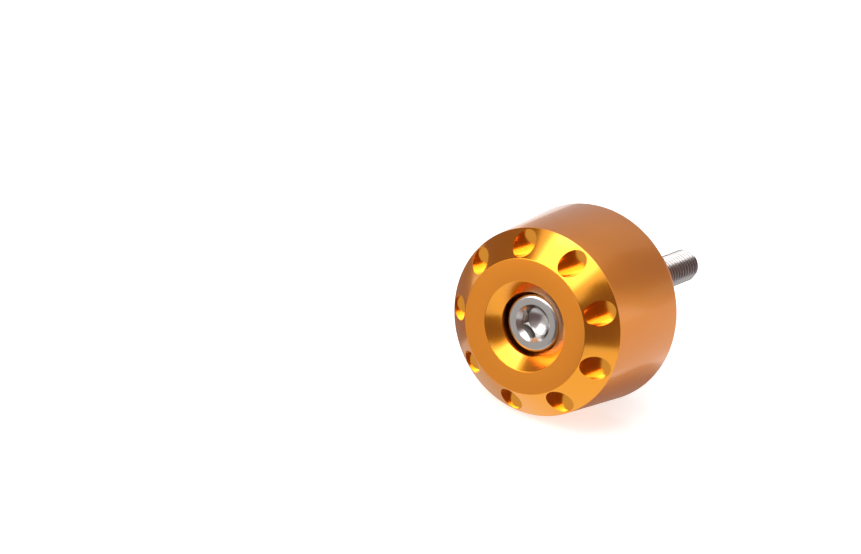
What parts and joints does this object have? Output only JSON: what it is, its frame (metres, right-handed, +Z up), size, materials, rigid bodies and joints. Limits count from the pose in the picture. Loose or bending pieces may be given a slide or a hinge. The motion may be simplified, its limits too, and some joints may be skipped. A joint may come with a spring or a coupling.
{
  "type": "bar end weight",
  "caption": "Turned bar end weight: a tapered body with drilled dimples round its bevelled face, and a socket head screw through its middle.",
  "frame": {"origin": "on the turned axis, in the plane of the neck's end face, which meets the handlebar's end", "axes": "+Y along the axis, from the outer face to the screw's tip, into the handlebar; +Z up, with one dimple straight down"},
  "size_m": [0.035, 0.0588, 0.035],
  "materials": {
    "anodised_body": "satin orange-gold anodising, bright-cut in the dish, the bevel and the dimples",
    "screw_steel": "bright stainless steel"
  },
  "bodies": {
    "root": {"weight_body": "anodised_body", "fixing_screw": "screw_steel"}
  },
  "joints": []
}
